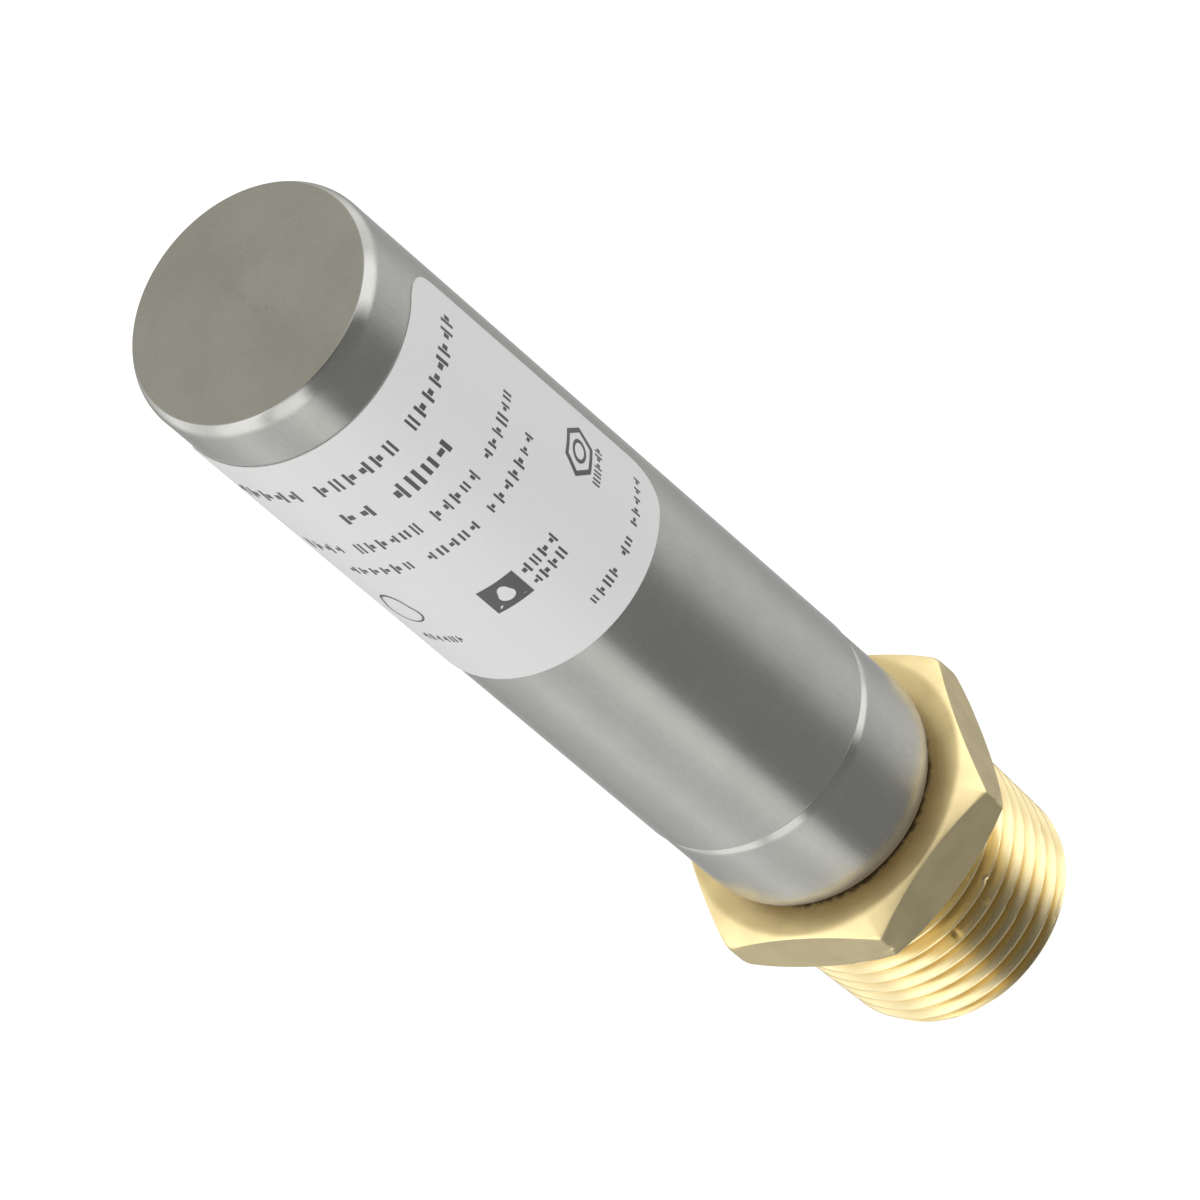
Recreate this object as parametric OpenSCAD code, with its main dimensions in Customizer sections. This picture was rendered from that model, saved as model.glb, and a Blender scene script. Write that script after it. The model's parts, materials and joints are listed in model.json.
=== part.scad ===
// Piston water hammer arrestor: a drawn steel tube, closed at one end, rolled onto a brass
// fitting with a tapered male pipe thread, with a sealed piston between the water and the air.
// The origin is the centre of the thread's end face, and +Z runs up the tube to its closed end.

/* [Tube] */
// Outside diameter of the tube
tube_d = 21.2; // [19.8:0.1:23]
// Length of the tube, from its curled lip to its closed end
tube_length = 83.4; // [75:0.1:140]
// Wall of the drawn tube, at its side and at its closed end
tube_wall = 0.7; // [0.5:0.05:0.75]
// Radius of the drawn edge that runs from the tube's side up to the flat closed end
cap_edge_r = 2.05; // [1.6:0.05:3]
// Height of that edge, which meets the flat end at a crease
cap_edge_height = 1.4; // [0.8:0.05:1.5]

/* [Rolled joint] */
// How far the neck is rolled in from the tube's surface
neck_step = 0.1; // [0.05:0.05:0.25]
// Height of the rolled groove above the lip
groove_height = 12; // [10:0.1:20]
// Depth of the rolled groove below the tube's surface
groove_depth = 0.45; // [0.35:0.05:0.65]
// Height of the slope from the groove's floor out to the neck
groove_slope = 0.8; // [0.3:0.05:1.2]
// Outside radius of the curl at the tube's open end
lip_r = 1.6; // [0.85:0.05:1.9]
// Open gap between the curled lip and the hexagon
lip_gap = 0.1; // [0.1:0.05:0.8]

/* [Fitting] */
// Length of the male thread below the hexagon
thread_length = 15.2; // [11:0.1:22]
// Diameter over the thread's crests at the end face
thread_end_d = 20.8; // [19:0.05:22]
// Pitch of the thread
thread_pitch = 1.814; // [1.2:0.001:2.2]
// The thread widens by one millimetre of diameter in this many millimetres
thread_taper = 16; // [12:1:24]
// Width of the flat on each crest
thread_crest = 0.18; // [0.1:0.01:0.4]
// Width of the flat in each root
thread_root = 0.1; // [0.05:0.01:0.3]
// Width of the bevel at the thread's end, across the radius
thread_bevel = 0.45; // [0.2:0.05:1]
// Size of the hexagon across its flats
hex_af = 24.6; // [24:0.1:30]
// Height of the hexagon
hex_height = 5.3; // [4:0.1:9]
// How far the round face of the hexagon lies inside its flats
hex_face_inset = 0.25; // [0.1:0.05:0.6]
// Slope of the bevel on the hexagon's corners, in degrees
hex_bevel_angle = 30; // [15:1:35]
// Diameter of the waterway through the fitting
waterway_d = 12.6; // [9:0.1:13]
// Bevel at both mouths of the waterway
waterway_bevel = 0.5; // [0.2:0.05:0.8]
// Length of the spigot past the rolled groove
spigot_land = 2.6; // [1.5:0.1:6]
// Bevel round the spigot's upper end
spigot_bevel = 0.6; // [0.3:0.05:1]

/* [Seals] */
// Section of the rubber rings
ring_section = 1.9; // [1.5:0.05:2]
// Room left beside a ring along its groove
ring_side_room = 0.3; // [0.1:0.05:0.5]

/* [Piston] */
// Length of the piston
piston_length = 18; // [15:0.1:26]
// Distance from each end of the piston to the middle of its ring groove
ring_inset = 4; // [3:0.1:6]
// Depth of the cup on the piston's air side
piston_cup_depth = 13; // [6:0.1:14]
// Radius of the fillet round the floor of the cup
piston_cup_fillet = 1.5; // [0.5:0.1:3]
// Wall between the cup and the ring grooves
piston_wall = 1.35; // [1:0.05:2]
// Bevel round both ends of the piston
piston_bevel = 0.7; // [0.3:0.05:1.2]
// Diameter of the shallow recess on the piston's water side
piston_recess_d = 8; // [4:0.1:9]
// Depth of the recess on the piston's water side
piston_recess_depth = 0.8; // [0.3:0.05:1.5]

/* [Label] */
// Length of the label along the tube
label_length = 35.1; // [20:0.1:45]
// Distance from the closed end to the label
label_inset = 5.6; // [3:0.1:14]
// Part of a turn that the label wraps, in degrees
label_span = 169; // [90:1:300]
// Direction that the middle of the label faces, in degrees from +X
label_turn = -114; // [-180:1:180]
// Radius of the label's corners
label_corner_r = 3.2; // [1:0.1:6]
// Thickness of the label
label_thickness = 0.12; // [0.06:0.01:0.3]

/* [Hidden] */
$fn = 96;

// Clearances and the overrun of cuts
rolled_fit = 0.05;
ring_fit = 0.02;
ring_seat = 0.03;
piston_fit = 0.08;
piston_stop_gap = 0.05;
label_fit = 0.02;
overrun = 1;

// Angle between a thread's flank and the plane across the axis
flank_angle = 30;

// Radii of the tube
tube_r = tube_d / 2;
bore_r = tube_r - tube_wall;
neck_r = tube_r - neck_step;
neck_bore_r = neck_r - tube_wall;
groove_r = tube_r - groove_depth;
lip_centre_r = neck_r - lip_r;
lip_inner_curl_r = lip_r - tube_wall;

// Heights of the tube
hex_top = thread_length + hex_height;
tube_bottom = hex_top + lip_gap;
tube_top = tube_bottom + tube_length;
lip_centre_z = tube_bottom + lip_r;
groove_z = tube_bottom + groove_height;

// Spigot inside the tube's neck
spigot_r = neck_bore_r - rolled_fit;
spigot_top = groove_z + spigot_land;
undercut_r = lip_centre_r - rolled_fit;
shoulder_curl_r = lip_inner_curl_r - rolled_fit;
spigot_ring_z = (lip_centre_z + groove_z) / 2;

// Thread
thread_end_r = thread_end_d / 2;
thread_flank = (thread_pitch - thread_crest - thread_root) / 2;
thread_depth = thread_flank / tan(flank_angle);
thread_turns = ceil(thread_length / thread_pitch);
thread_bevel_r = thread_end_r - thread_bevel;

// Hexagon
hex_corner_r = hex_af / sqrt(3);
hex_face_r = hex_af / 2 - hex_face_inset;
hex_bevel_drop = (hex_corner_r - hex_face_r) * tan(hex_bevel_angle);
waterway_r = waterway_d / 2;

// Rings: the middle circle of each, and the floors of their grooves
ring_groove_width = ring_section + 2 * ring_side_room;
spigot_ring_r = neck_bore_r - ring_fit - ring_section / 2;
piston_ring_r = bore_r - ring_fit - ring_section / 2;
ring_floor_drop = ring_section / 2 + ring_seat;

// Piston
piston_r = bore_r - piston_fit;
piston_bottom = spigot_top + piston_stop_gap;
piston_top = piston_bottom + piston_length;
piston_cup_r = piston_ring_r - ring_floor_drop - piston_wall;
lower_ring_z = piston_bottom + ring_inset;
upper_ring_z = piston_top - ring_inset;

// Label: each corner's circle is cut off by the edges at this share of its radius
label_inner_r = tube_r + label_fit;
label_outer_r = label_inner_r + label_thickness;
label_bottom = tube_top - label_inset - label_length;
label_middle_z = label_bottom + label_length / 2;
label_corner_share = 0.96;
label_corner_side = label_corner_r * label_corner_share;
label_corner_angle = asin(label_corner_side / label_outer_r);

// Radius over the thread's crests at a height above the end face
function crest_r(z) = thread_end_r + z / (2 * thread_taper);

// Radius in the thread's roots at a height above the end face
function root_r(z) = crest_r(z) - thread_depth;

// The four corners of one ridge of the thread
function ridge(z) = [
    [root_r(z), z],
    [root_r(z), z + thread_root],
    [crest_r(z), z + thread_root + thread_flank],
    [crest_r(z), z + thread_root + thread_flank + thread_crest]
];

// A band of the half section, from the axis out to a radius
module band(r, bottom, top) {
    translate([0, bottom])
        square([r, top - bottom]);
}

// A band whose side turns in along an arc and meets its flat top at a crease
module band_arched_top(r, bottom, top, edge_r, edge_height) {
    flat_r = r - edge_r + sqrt(edge_r ^ 2 - edge_height ^ 2);
    band(r, bottom, top - edge_height);
    band(flat_r, bottom, top);
    intersection() {
        band(r, bottom, top);
        translate([r - edge_r, top - edge_height])
            circle(r = edge_r);
    }
}

// A band whose outer corner is round at its foot
module band_round_foot(r, bottom, top, edge) {
    band(r, bottom + edge, top);
    band(r - edge, bottom, top);
    translate([r - edge, bottom + edge])
        circle(r = edge);
}

// Half section of the tube's outside: body, rolled groove, neck and curled lip
module tube_outer_section() {
    band_arched_top(tube_r, groove_z + groove_depth, tube_top, cap_edge_r, cap_edge_height);
    band_round_foot(tube_r, groove_z, tube_top - cap_edge_height, groove_depth);
    polygon([[0, lip_centre_z], [neck_r, lip_centre_z], [neck_r, groove_z - groove_slope],
             [groove_r, groove_z], [groove_r, groove_z + groove_depth],
             [0, groove_z + groove_depth]]);
    band_round_foot(neck_r, tube_bottom, groove_z - groove_slope, lip_r);
}

// Half section of the tube's hollow, with the ridge that the rolled groove raises inside
module tube_inner_section() {
    difference() {
        union() {
            band_arched_top(bore_r, groove_z, tube_top - tube_wall, cap_edge_r - tube_wall,
                            cap_edge_height - tube_wall);
            band(neck_bore_r, lip_centre_z, groove_z + overrun);
            band_round_foot(neck_bore_r, tube_bottom + tube_wall, groove_z, lip_inner_curl_r);
            band(lip_centre_r, tube_bottom - overrun, groove_z);
        }
        translate([groove_r, groove_z])
            circle(r = tube_wall);
    }
}

module chamber_tube() {
    color("silver")
        rotate_extrude()
            difference() {
                tube_outer_section();
                tube_inner_section();
            }
}

// Half section of the tapered thread, bevelled at its end
module thread_section() {
    ridge_points = [for (turn = [0 : thread_turns - 1]) each ridge(turn * thread_pitch)];
    full_height = thread_turns * thread_pitch;
    bevel_reach = crest_r(thread_length) - thread_bevel_r;
    intersection() {
        polygon(concat([[0, 0]], ridge_points, [[root_r(full_height), full_height], [0, full_height]]));
        polygon([[0, 0], [thread_bevel_r, 0], [thread_bevel_r + bevel_reach, bevel_reach],
                 [thread_bevel_r + bevel_reach, thread_length], [0, thread_length]]);
    }
}

// Half section of the spigot: undercut for the lip, ring groove and recess for the rolled groove
module spigot_section() {
    difference() {
        union() {
            band(undercut_r, thread_length, spigot_top - spigot_bevel);
            band_round_foot(spigot_r, tube_bottom + tube_wall + rolled_fit,
                            spigot_top - spigot_bevel, shoulder_curl_r);
            polygon([[0, spigot_top - spigot_bevel], [spigot_r, spigot_top - spigot_bevel],
                     [spigot_r - spigot_bevel, spigot_top], [0, spigot_top]]);
        }
        translate([groove_r, groove_z])
            circle(r = tube_wall + rolled_fit);
        ring_groove_section(spigot_ring_r, spigot_ring_z);
    }
}

// The cut that a ring sits in, seen in half section
module ring_groove_section(middle_r, z) {
    translate([middle_r - ring_floor_drop, z - ring_groove_width / 2])
        square([ring_section + overrun, ring_groove_width]);
}

// The hexagon with a conical bevel on the corners of both faces
module hex_body() {
    translate([0, 0, thread_length])
        intersection() {
            cylinder(r = hex_corner_r, h = hex_height, $fn = 6);
            rotate_extrude()
                polygon([[0, 0], [hex_face_r, 0], [hex_corner_r, hex_bevel_drop],
                         [hex_corner_r, hex_height - hex_bevel_drop],
                         [hex_face_r, hex_height], [0, hex_height]]);
        }
}

// The straight waterway with a bevel at each mouth
module waterway() {
    translate([0, 0, -overrun])
        cylinder(r = waterway_r, h = spigot_top + 2 * overrun);
    cylinder(r1 = waterway_r + waterway_bevel, r2 = waterway_r, h = waterway_bevel);
    translate([0, 0, spigot_top - waterway_bevel])
        cylinder(r1 = waterway_r, r2 = waterway_r + waterway_bevel, h = waterway_bevel);
}

module brass_fitting() {
    color("goldenrod")
        difference() {
            union() {
                rotate_extrude()
                    union() {
                        thread_section();
                        spigot_section();
                    }
                hex_body();
            }
            waterway();
        }
}

// A round rubber ring
module ring(middle_r, z) {
    translate([0, 0, z])
        rotate_extrude()
            translate([middle_r, 0])
                circle(d = ring_section);
}

module fitting_seal_ring() {
    color("dimgray")
        ring(spigot_ring_r, spigot_ring_z);
}

module piston_ring_lower() {
    color("dimgray")
        ring(piston_ring_r, lower_ring_z);
}

module piston_ring_upper() {
    color("dimgray")
        ring(piston_ring_r, upper_ring_z);
}

// Half section of the piston: bevelled ends, two ring grooves and a cup on the air side
module piston_section() {
    difference() {
        polygon([[0, piston_bottom], [piston_r - piston_bevel, piston_bottom],
                 [piston_r, piston_bottom + piston_bevel], [piston_r, piston_top - piston_bevel],
                 [piston_r - piston_bevel, piston_top], [0, piston_top]]);
        ring_groove_section(piston_ring_r, lower_ring_z);
        ring_groove_section(piston_ring_r, upper_ring_z);
        band_round_foot(piston_cup_r, piston_top - piston_cup_depth, piston_top + overrun,
                        piston_cup_fillet);
        band(piston_recess_d / 2, piston_bottom - overrun, piston_bottom + piston_recess_depth);
    }
}

module piston() {
    color("ivory")
        rotate_extrude()
            piston_section();
}

// The waste outside a label's corner, pointing away from the axis
module label_corner_waste(quarter) {
    side = quarter == 0 || quarter == 3 ? 1 : -1;
    end = quarter < 2 ? 1 : -1;
    rotate([0, 0, label_turn + side * (label_span / 2 - label_corner_angle)])
        translate([0, 0, label_middle_z + end * (label_length / 2 - label_corner_side)])
            rotate([90, 0, 90])
                linear_extrude(label_outer_r + overrun)
                    rotate(90 * quarter)
                        difference() {
                            square(label_corner_r + overrun);
                            circle(r = label_corner_r);
                        }
}

module wrap_label() {
    color("whitesmoke")
        difference() {
            rotate([0, 0, label_turn - label_span / 2])
                rotate_extrude(angle = label_span)
                    translate([label_inner_r, label_bottom])
                        square([label_thickness, label_length]);
            for (quarter = [0 : 3])
                label_corner_waste(quarter);
        }
}

chamber_tube();
brass_fitting();
fitting_seal_ring();
piston();
piston_ring_lower();
piston_ring_upper();
wrap_label();
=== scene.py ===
import json
import math

import bmesh
import bpy
from mathutils import Matrix, Vector


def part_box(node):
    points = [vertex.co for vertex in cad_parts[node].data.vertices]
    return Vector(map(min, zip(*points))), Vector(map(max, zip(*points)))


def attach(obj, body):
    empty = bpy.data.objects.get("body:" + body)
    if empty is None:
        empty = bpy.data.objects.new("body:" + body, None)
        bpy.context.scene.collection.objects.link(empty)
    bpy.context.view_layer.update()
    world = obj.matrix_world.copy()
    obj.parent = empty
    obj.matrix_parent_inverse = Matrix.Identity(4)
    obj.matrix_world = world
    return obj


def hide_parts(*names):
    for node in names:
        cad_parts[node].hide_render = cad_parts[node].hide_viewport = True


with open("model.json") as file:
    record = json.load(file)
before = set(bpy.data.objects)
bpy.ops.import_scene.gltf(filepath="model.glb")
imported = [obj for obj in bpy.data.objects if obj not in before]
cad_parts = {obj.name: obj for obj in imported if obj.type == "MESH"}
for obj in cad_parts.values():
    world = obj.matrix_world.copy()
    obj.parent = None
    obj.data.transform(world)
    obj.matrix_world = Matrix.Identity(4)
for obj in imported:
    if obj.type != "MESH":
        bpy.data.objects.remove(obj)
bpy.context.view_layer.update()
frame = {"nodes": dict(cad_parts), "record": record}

bl_info = {
    "name": "Water Hammer Arrestor",
    "version": (1, 0, 0),
    "blender": (4, 5, 0),
    "location": "3D View > Sidebar > Arrestor",
    "description": "Dresses the packed model of a piston water hammer arrestor",
    "category": "Object",
}

MM = 0.001

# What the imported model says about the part
mounts = {mount["name"]: mount for mount in frame["record"]["mounts"]}
thread_mount = mounts["pipe_thread"]["dims"]
tube_low, tube_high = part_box("chamber_tube")
fitting_low, fitting_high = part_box("brass_fitting")
label_low, label_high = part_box("wrap_label")
seal_low, seal_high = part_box("fitting_seal_ring")
thread_top = thread_mount["length_mm"] * MM
hex_middle = mounts["wrench_flat_front"]["pos_m"][2]


def length(name, text, value):
    """A length in metres that the user may change."""
    return bpy.props.FloatProperty(name=name, description=text, default=value, min=0.0,
                                   precision=5, subtype="DISTANCE", unit="LENGTH")


def angle(name, text, degrees):
    """An angle that the user may change."""
    return bpy.props.FloatProperty(name=name, description=text, default=math.radians(degrees),
                                   subtype="ANGLE", unit="ROTATION")


def share(name, text, value):
    """A number from 0 to 1 that the user may change."""
    return bpy.props.FloatProperty(name=name, description=text, default=value, min=0.0, max=1.0,
                                   subtype="FACTOR")


def tint(name, text, value):
    """A colour that the user may change."""
    return bpy.props.FloatVectorProperty(name=name, description=text, default=value, size=3,
                                         min=0.0, max=1.0, subtype="COLOR")


class ArrestorTubeSizes(bpy.types.PropertyGroup):
    """Sizes of the drawn tube."""
    radius: length("Radius", "Outside radius of the tube", tube_high.x)
    wall: length("Wall", "Wall of the tube", 0.7 * MM)
    bottom: length("Lip Height", "Height of the curled lip's foot", tube_low.z)
    top: length("Top", "Height of the closed end", tube_high.z)
    cap_edge: length("Cap Edge", "Radius of the drawn edge round the closed end", 2.05 * MM)
    cap_height: length("Cap Edge Height", "Height of that edge up to its crease", 1.4 * MM)
    neck_step: length("Neck Step", "How far the neck is rolled in", 0.1 * MM)
    groove_height: length("Groove Height", "Height of the rolled groove over the lip", 12 * MM)
    groove_depth: length("Groove Depth", "Depth of the rolled groove", 0.45 * MM)
    groove_slope: length("Groove Slope", "Height of the slope under the groove", 0.8 * MM)
    lip: length("Lip Radius", "Outside radius of the rolled-in lip", 4.5 * MM)
    lip_turn: angle("Lip Turn", "How far the lip is rolled in", 43)
    columns: bpy.props.IntProperty(name="Columns", description="Faces round the tube",
                                   default=288, min=24)


class ArrestorFittingSizes(bpy.types.PropertyGroup):
    """Sizes of the brass fitting."""
    thread_length: length("Thread Length", "Length of the male thread", thread_top)
    thread_radius: length("Thread Radius", "Radius over the crests at the end face",
                          thread_mount["r_mm"] * MM)
    pitch: length("Pitch", "Pitch of the thread", 1.814 * MM)
    taper: bpy.props.FloatProperty(name="Taper", default=16.0, min=1.0,
                                   description="Length in which the diameter grows by one")
    crest: length("Crest", "Width of the flat on each crest", 0.18 * MM)
    root: length("Root", "Width of the flat in each root", 0.1 * MM)
    crest_height: length("Crest Height", "Height of the first crest towards +X", 0.512 * MM)
    end_bevel: length("End Bevel", "Bevel round the thread's end", 0.45 * MM)
    hex_half: length("Half Across Flats", "Half the size of the hexagon", fitting_high.y)
    hex_height: length("Hexagon Height", "Height of the hexagon",
                       2 * (hex_middle - thread_top))
    face_inset: length("Face Inset", "Inset of the hexagon's round face", 0.25 * MM)
    bevel_slope: angle("Bevel Slope", "Slope of the bevel on the corners", 30)
    corner: length("Corner Radius", "Radius of the hexagon's upright edges", 0.3 * MM)
    worn_corner: length("Worn Corner Radius", "Radius of the two upright edges that are worn",
                        1.2 * MM)
    bore: length("Waterway", "Radius of the waterway", 6.3 * MM)
    bore_bevel: length("Waterway Bevel", "Bevel at the mouths of the waterway", 0.5 * MM)
    spigot_top: length("Spigot Top", "Height of the spigot's end", fitting_high.z)
    columns: bpy.props.IntProperty(name="Columns", description="Faces round the fitting",
                                   default=288, min=72)
    steps: bpy.props.IntProperty(name="Steps", description="Faces along one turn of thread",
                                 default=16, min=8)


class ArrestorLabelSizes(bpy.types.PropertyGroup):
    """Sizes of the wrapped label and its print."""
    bottom: length("Bottom", "Height of the label's lower edge", label_low.z)
    top: length("Top", "Height of the label's upper edge", label_high.z)
    inner: length("Inner Radius", "Radius of the label's back", 10.62 * MM)
    thickness: length("Thickness", "Thickness of the label", 0.12 * MM)
    span: angle("Span", "Part of a turn that the label wraps", 169)
    turn: angle("Turn", "Direction that the label's middle faces", -114)
    corner: length("Corner Radius", "Radius of the label's corners", 3.2 * MM)
    ink: length("Ink", "Thickness of the print", 0.015 * MM)


class ArrestorFinishes(bpy.types.PropertyGroup):
    """Colours and finishes."""
    steel: tint("Steel", "Colour of the tube", (0.42, 0.42, 0.395))
    steel_roughness: share("Steel Roughness", "Roughness of the tube", 0.22)
    brass: tint("Brass", "Colour of the fitting", (0.82, 0.68, 0.37))
    tarnish: tint("Tarnish", "Colour of the dull patches on its faces", (0.6, 0.45, 0.22))
    # Thread Crests is a paler brass as a painted highlight; Thread Roots is a darker brass as
    # painted shade in the roots
    crests: tint("Thread Crests", "Colour of the thread's burnished crests", (0.78, 0.66, 0.38))
    roots: tint("Thread Roots", "Colour of the thread's roots", (0.62, 0.45, 0.18))
    flats: tint("Flats", "Colour of the hexagon's drawn flats", (0.5, 0.43, 0.265))
    brass_roughness: share("Brass Roughness", "Roughness of the fitting", 0.21)
    rubber: tint("Rubber", "Colour of the seal rings", (0.025, 0.025, 0.025))
    plastic: tint("Piston Plastic", "Colour of the piston", (0.8, 0.78, 0.72))
    film: tint("Label Film", "Colour of the label", (0.87, 0.87, 0.87))
    print_grey: tint("Print", "Colour of the label's print", (0.10, 0.10, 0.10))
    floor: tint("Floor", "Colour of the floor", (0.35, 0.35, 0.35))


def sizes_of(context, name):
    """The property group of that name on the scene."""
    return getattr(context.scene, "arrestor_" + name)


def node(tree, kind, **settings):
    """Adds a node. Keys that name no property of it fill the input of that name."""
    made = tree.nodes.new(kind)
    for key, value in settings.items():
        if hasattr(made, key):
            setattr(made, key, value)
            continue
        feed(tree, made.inputs[key.replace("_", " ").title()], value)
    return made


def feed(tree, socket, value):
    """Links a socket or sets a plain value."""
    if isinstance(value, bpy.types.NodeSocket):
        tree.links.new(value, socket)
    else:
        socket.default_value = value


def calc(tree, operation, *terms, clamp=False):
    """One step of arithmetic on numbers or sockets."""
    made = tree.nodes.new("ShaderNodeMath")
    made.operation = operation
    made.use_clamp = clamp
    for socket, term in zip(made.inputs, terms):
        feed(tree, socket, term)
    return made.outputs[0]


def blend_colour(tree, share_in, first, second, mode="MIX"):
    """A mix of two colours."""
    made = tree.nodes.new("ShaderNodeMix")
    made.data_type = "RGBA"
    made.blend_type = mode
    for index, value in ((0, share_in), (6, first), (7, second)):
        feed(tree, made.inputs[index], value)
    return made.outputs[2]


def ramp(tree, value, stops, mode="LINEAR"):
    """A colour ramp of grey or coloured stops."""
    made = tree.nodes.new("ShaderNodeValToRGB")
    made.color_ramp.interpolation = mode
    elements = made.color_ramp.elements
    while len(elements) < len(stops):
        elements.new(0.5)
    for element, (place, colour) in zip(elements, stops):
        element.position = place
        element.color = (*colour, 1) if isinstance(colour, tuple) else (colour,) * 3 + (1,)
    feed(tree, made.inputs[0], value)
    return made.outputs[0]


def rgba(colour, gain=1.0):
    """A colour for a shader socket, lighter or darker by a gain."""
    return tuple(min(1.0, part * gain) for part in colour) + (1.0,)


def new_material(name):
    """An empty material with a Principled shader; gives its tree and the shader."""
    made = bpy.data.materials.new(name)
    made.use_nodes = True
    tree = made.node_tree
    shader = tree.nodes["Principled BSDF"]
    return made, tree, shader


def surface_points(tree):
    """Object coordinates and their three parts."""
    coordinates = node(tree, "ShaderNodeTexCoord").outputs["Object"]
    parts = node(tree, "ShaderNodeSeparateXYZ")
    feed(tree, parts.inputs[0], coordinates)
    return coordinates, parts.outputs


def stretched(tree, coordinates, scale):
    """Coordinates scaled along each axis."""
    made = node(tree, "ShaderNodeMapping")
    feed(tree, made.inputs["Vector"], coordinates)
    made.inputs["Scale"].default_value = scale
    return made.outputs[0]


def noise(tree, coordinates, scale, detail=2.0):
    """A noise value from 0 to 1."""
    made = node(tree, "ShaderNodeTexNoise")
    feed(tree, made.inputs["Vector"], coordinates)
    made.inputs["Scale"].default_value = scale
    made.inputs["Detail"].default_value = detail
    return made.outputs[0]


def remap(tree, value, low, high, new_low, new_high, smooth=False):
    """A value carried from one range to another."""
    made = node(tree, "ShaderNodeMapRange")
    made.interpolation_type = "SMOOTHSTEP" if smooth else "LINEAR"
    for index, term in enumerate((value, low, high, new_low, new_high)):
        feed(tree, made.inputs[index], term)
    return made.outputs[0]


def bump(tree, shader, height, distance, strength=1.0):
    """Bump on a shader's normal."""
    made = node(tree, "ShaderNodeBump")
    made.inputs["Strength"].default_value = strength
    made.inputs["Distance"].default_value = distance
    feed(tree, made.inputs["Height"], height)
    feed(tree, shader.inputs["Normal"], made.outputs[0])


def axis_radius(tree, parts):
    """Distance from the part's axis."""
    square = calc(tree, "ADD", calc(tree, "MULTIPLY", parts[0], parts[0]),
                  calc(tree, "MULTIPLY", parts[1], parts[1]))
    return calc(tree, "SQRT", square)


def patchy(tree, coordinates, scale, low, high):
    """A soft mottle from low to high."""
    return remap(tree, noise(tree, coordinates, scale, 4.0), 0.35, 0.65, low, high)


def satin_steel(finishes, tube):
    """Drawn stainless steel: grain along the tube; painted shadow and dirt in the groove, grime and
    painted shade at the lip.
    """
    made, tree, shader = new_material("satin_drawn_steel")
    coordinates, parts = surface_points(tree)
    grain = noise(tree, stretched(tree, coordinates, (9000, 9000, 900)), 1.0, 4.0)
    pits = remap(tree, noise(tree, coordinates, 5200.0, 2.0), 0.66, 0.74, 0.0, 0.3)
    mottle = calc(tree, "ADD", patchy(tree, coordinates, 240.0, 0.0, 0.5),
                  remap(tree, grain, 0.3, 0.7, 0.0, 0.5), clamp=True)
    colour = blend_colour(tree, mottle, rgba(finishes.steel, 0.94), rgba(finishes.steel, 1.05))
    colour = blend_colour(tree, pits, colour, rgba(finishes.steel, 0.5))
    wander = noise(tree, coordinates, 900.0, 4.0)
    # Dark line along the groove's crease: painted shadow in the crease, with a little dirt
    crease = calc(tree, "ABSOLUTE", calc(tree, "SUBTRACT", parts[2],
                                         tube.bottom + tube.groove_height - 0.06 * MM))
    line = calc(tree, "MULTIPLY", remap(tree, crease, 0.05 * MM, 0.13 * MM, 0.8, 0.0),
                remap(tree, wander, 0.4, 0.55, 0.3, 1.0))
    colour = blend_colour(tree, line, colour, (0.05, 0.05, 0.045, 1))
    # Darker, dull brown band up the curled lip from its foot: grime with painted shade where the
    # lip tucks in over the brass
    reach = calc(tree, "ADD", parts[2], calc(tree, "MULTIPLY", wander, -0.7 * MM))
    grime_and_shade = remap(tree, reach, tube.bottom + 0.8 * MM, tube.bottom + 2.3 * MM, 0.85, 0.0, True)
    colour = blend_colour(tree, grime_and_shade, colour, (0.22, 0.18, 0.125, 1))
    feed(tree, shader.inputs["Metallic"], calc(tree, "SUBTRACT", 1.0, grime_and_shade))
    shader.inputs["Specular IOR Level"].default_value = 0.0
    feed(tree, shader.inputs["Base Color"], colour)
    rough = remap(tree, grain, 0.25, 0.75, finishes.steel_roughness - 0.03,
                  finishes.steel_roughness + 0.04)
    scuffed = remap(tree, parts[2], tube.bottom + 0.8 * MM, tube.bottom + 4 * MM, 0.14, 0.0, True)
    rough = calc(tree, "ADD", rough, scuffed)
    feed(tree, shader.inputs["Roughness"],
         calc(tree, "ADD", rough, calc(tree, "MULTIPLY", grime_and_shade, 0.2)))
    shader.inputs["Anisotropic"].default_value = 0.8
    shader.inputs["Anisotropic Rotation"].default_value = 0.25
    round_axis = node(tree, "ShaderNodeTangent", direction_type="RADIAL", axis="Z")
    feed(tree, shader.inputs["Tangent"], round_axis.outputs[0])
    bump(tree, shader, grain, 0.003 * MM, 0.5)
    return made


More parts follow.
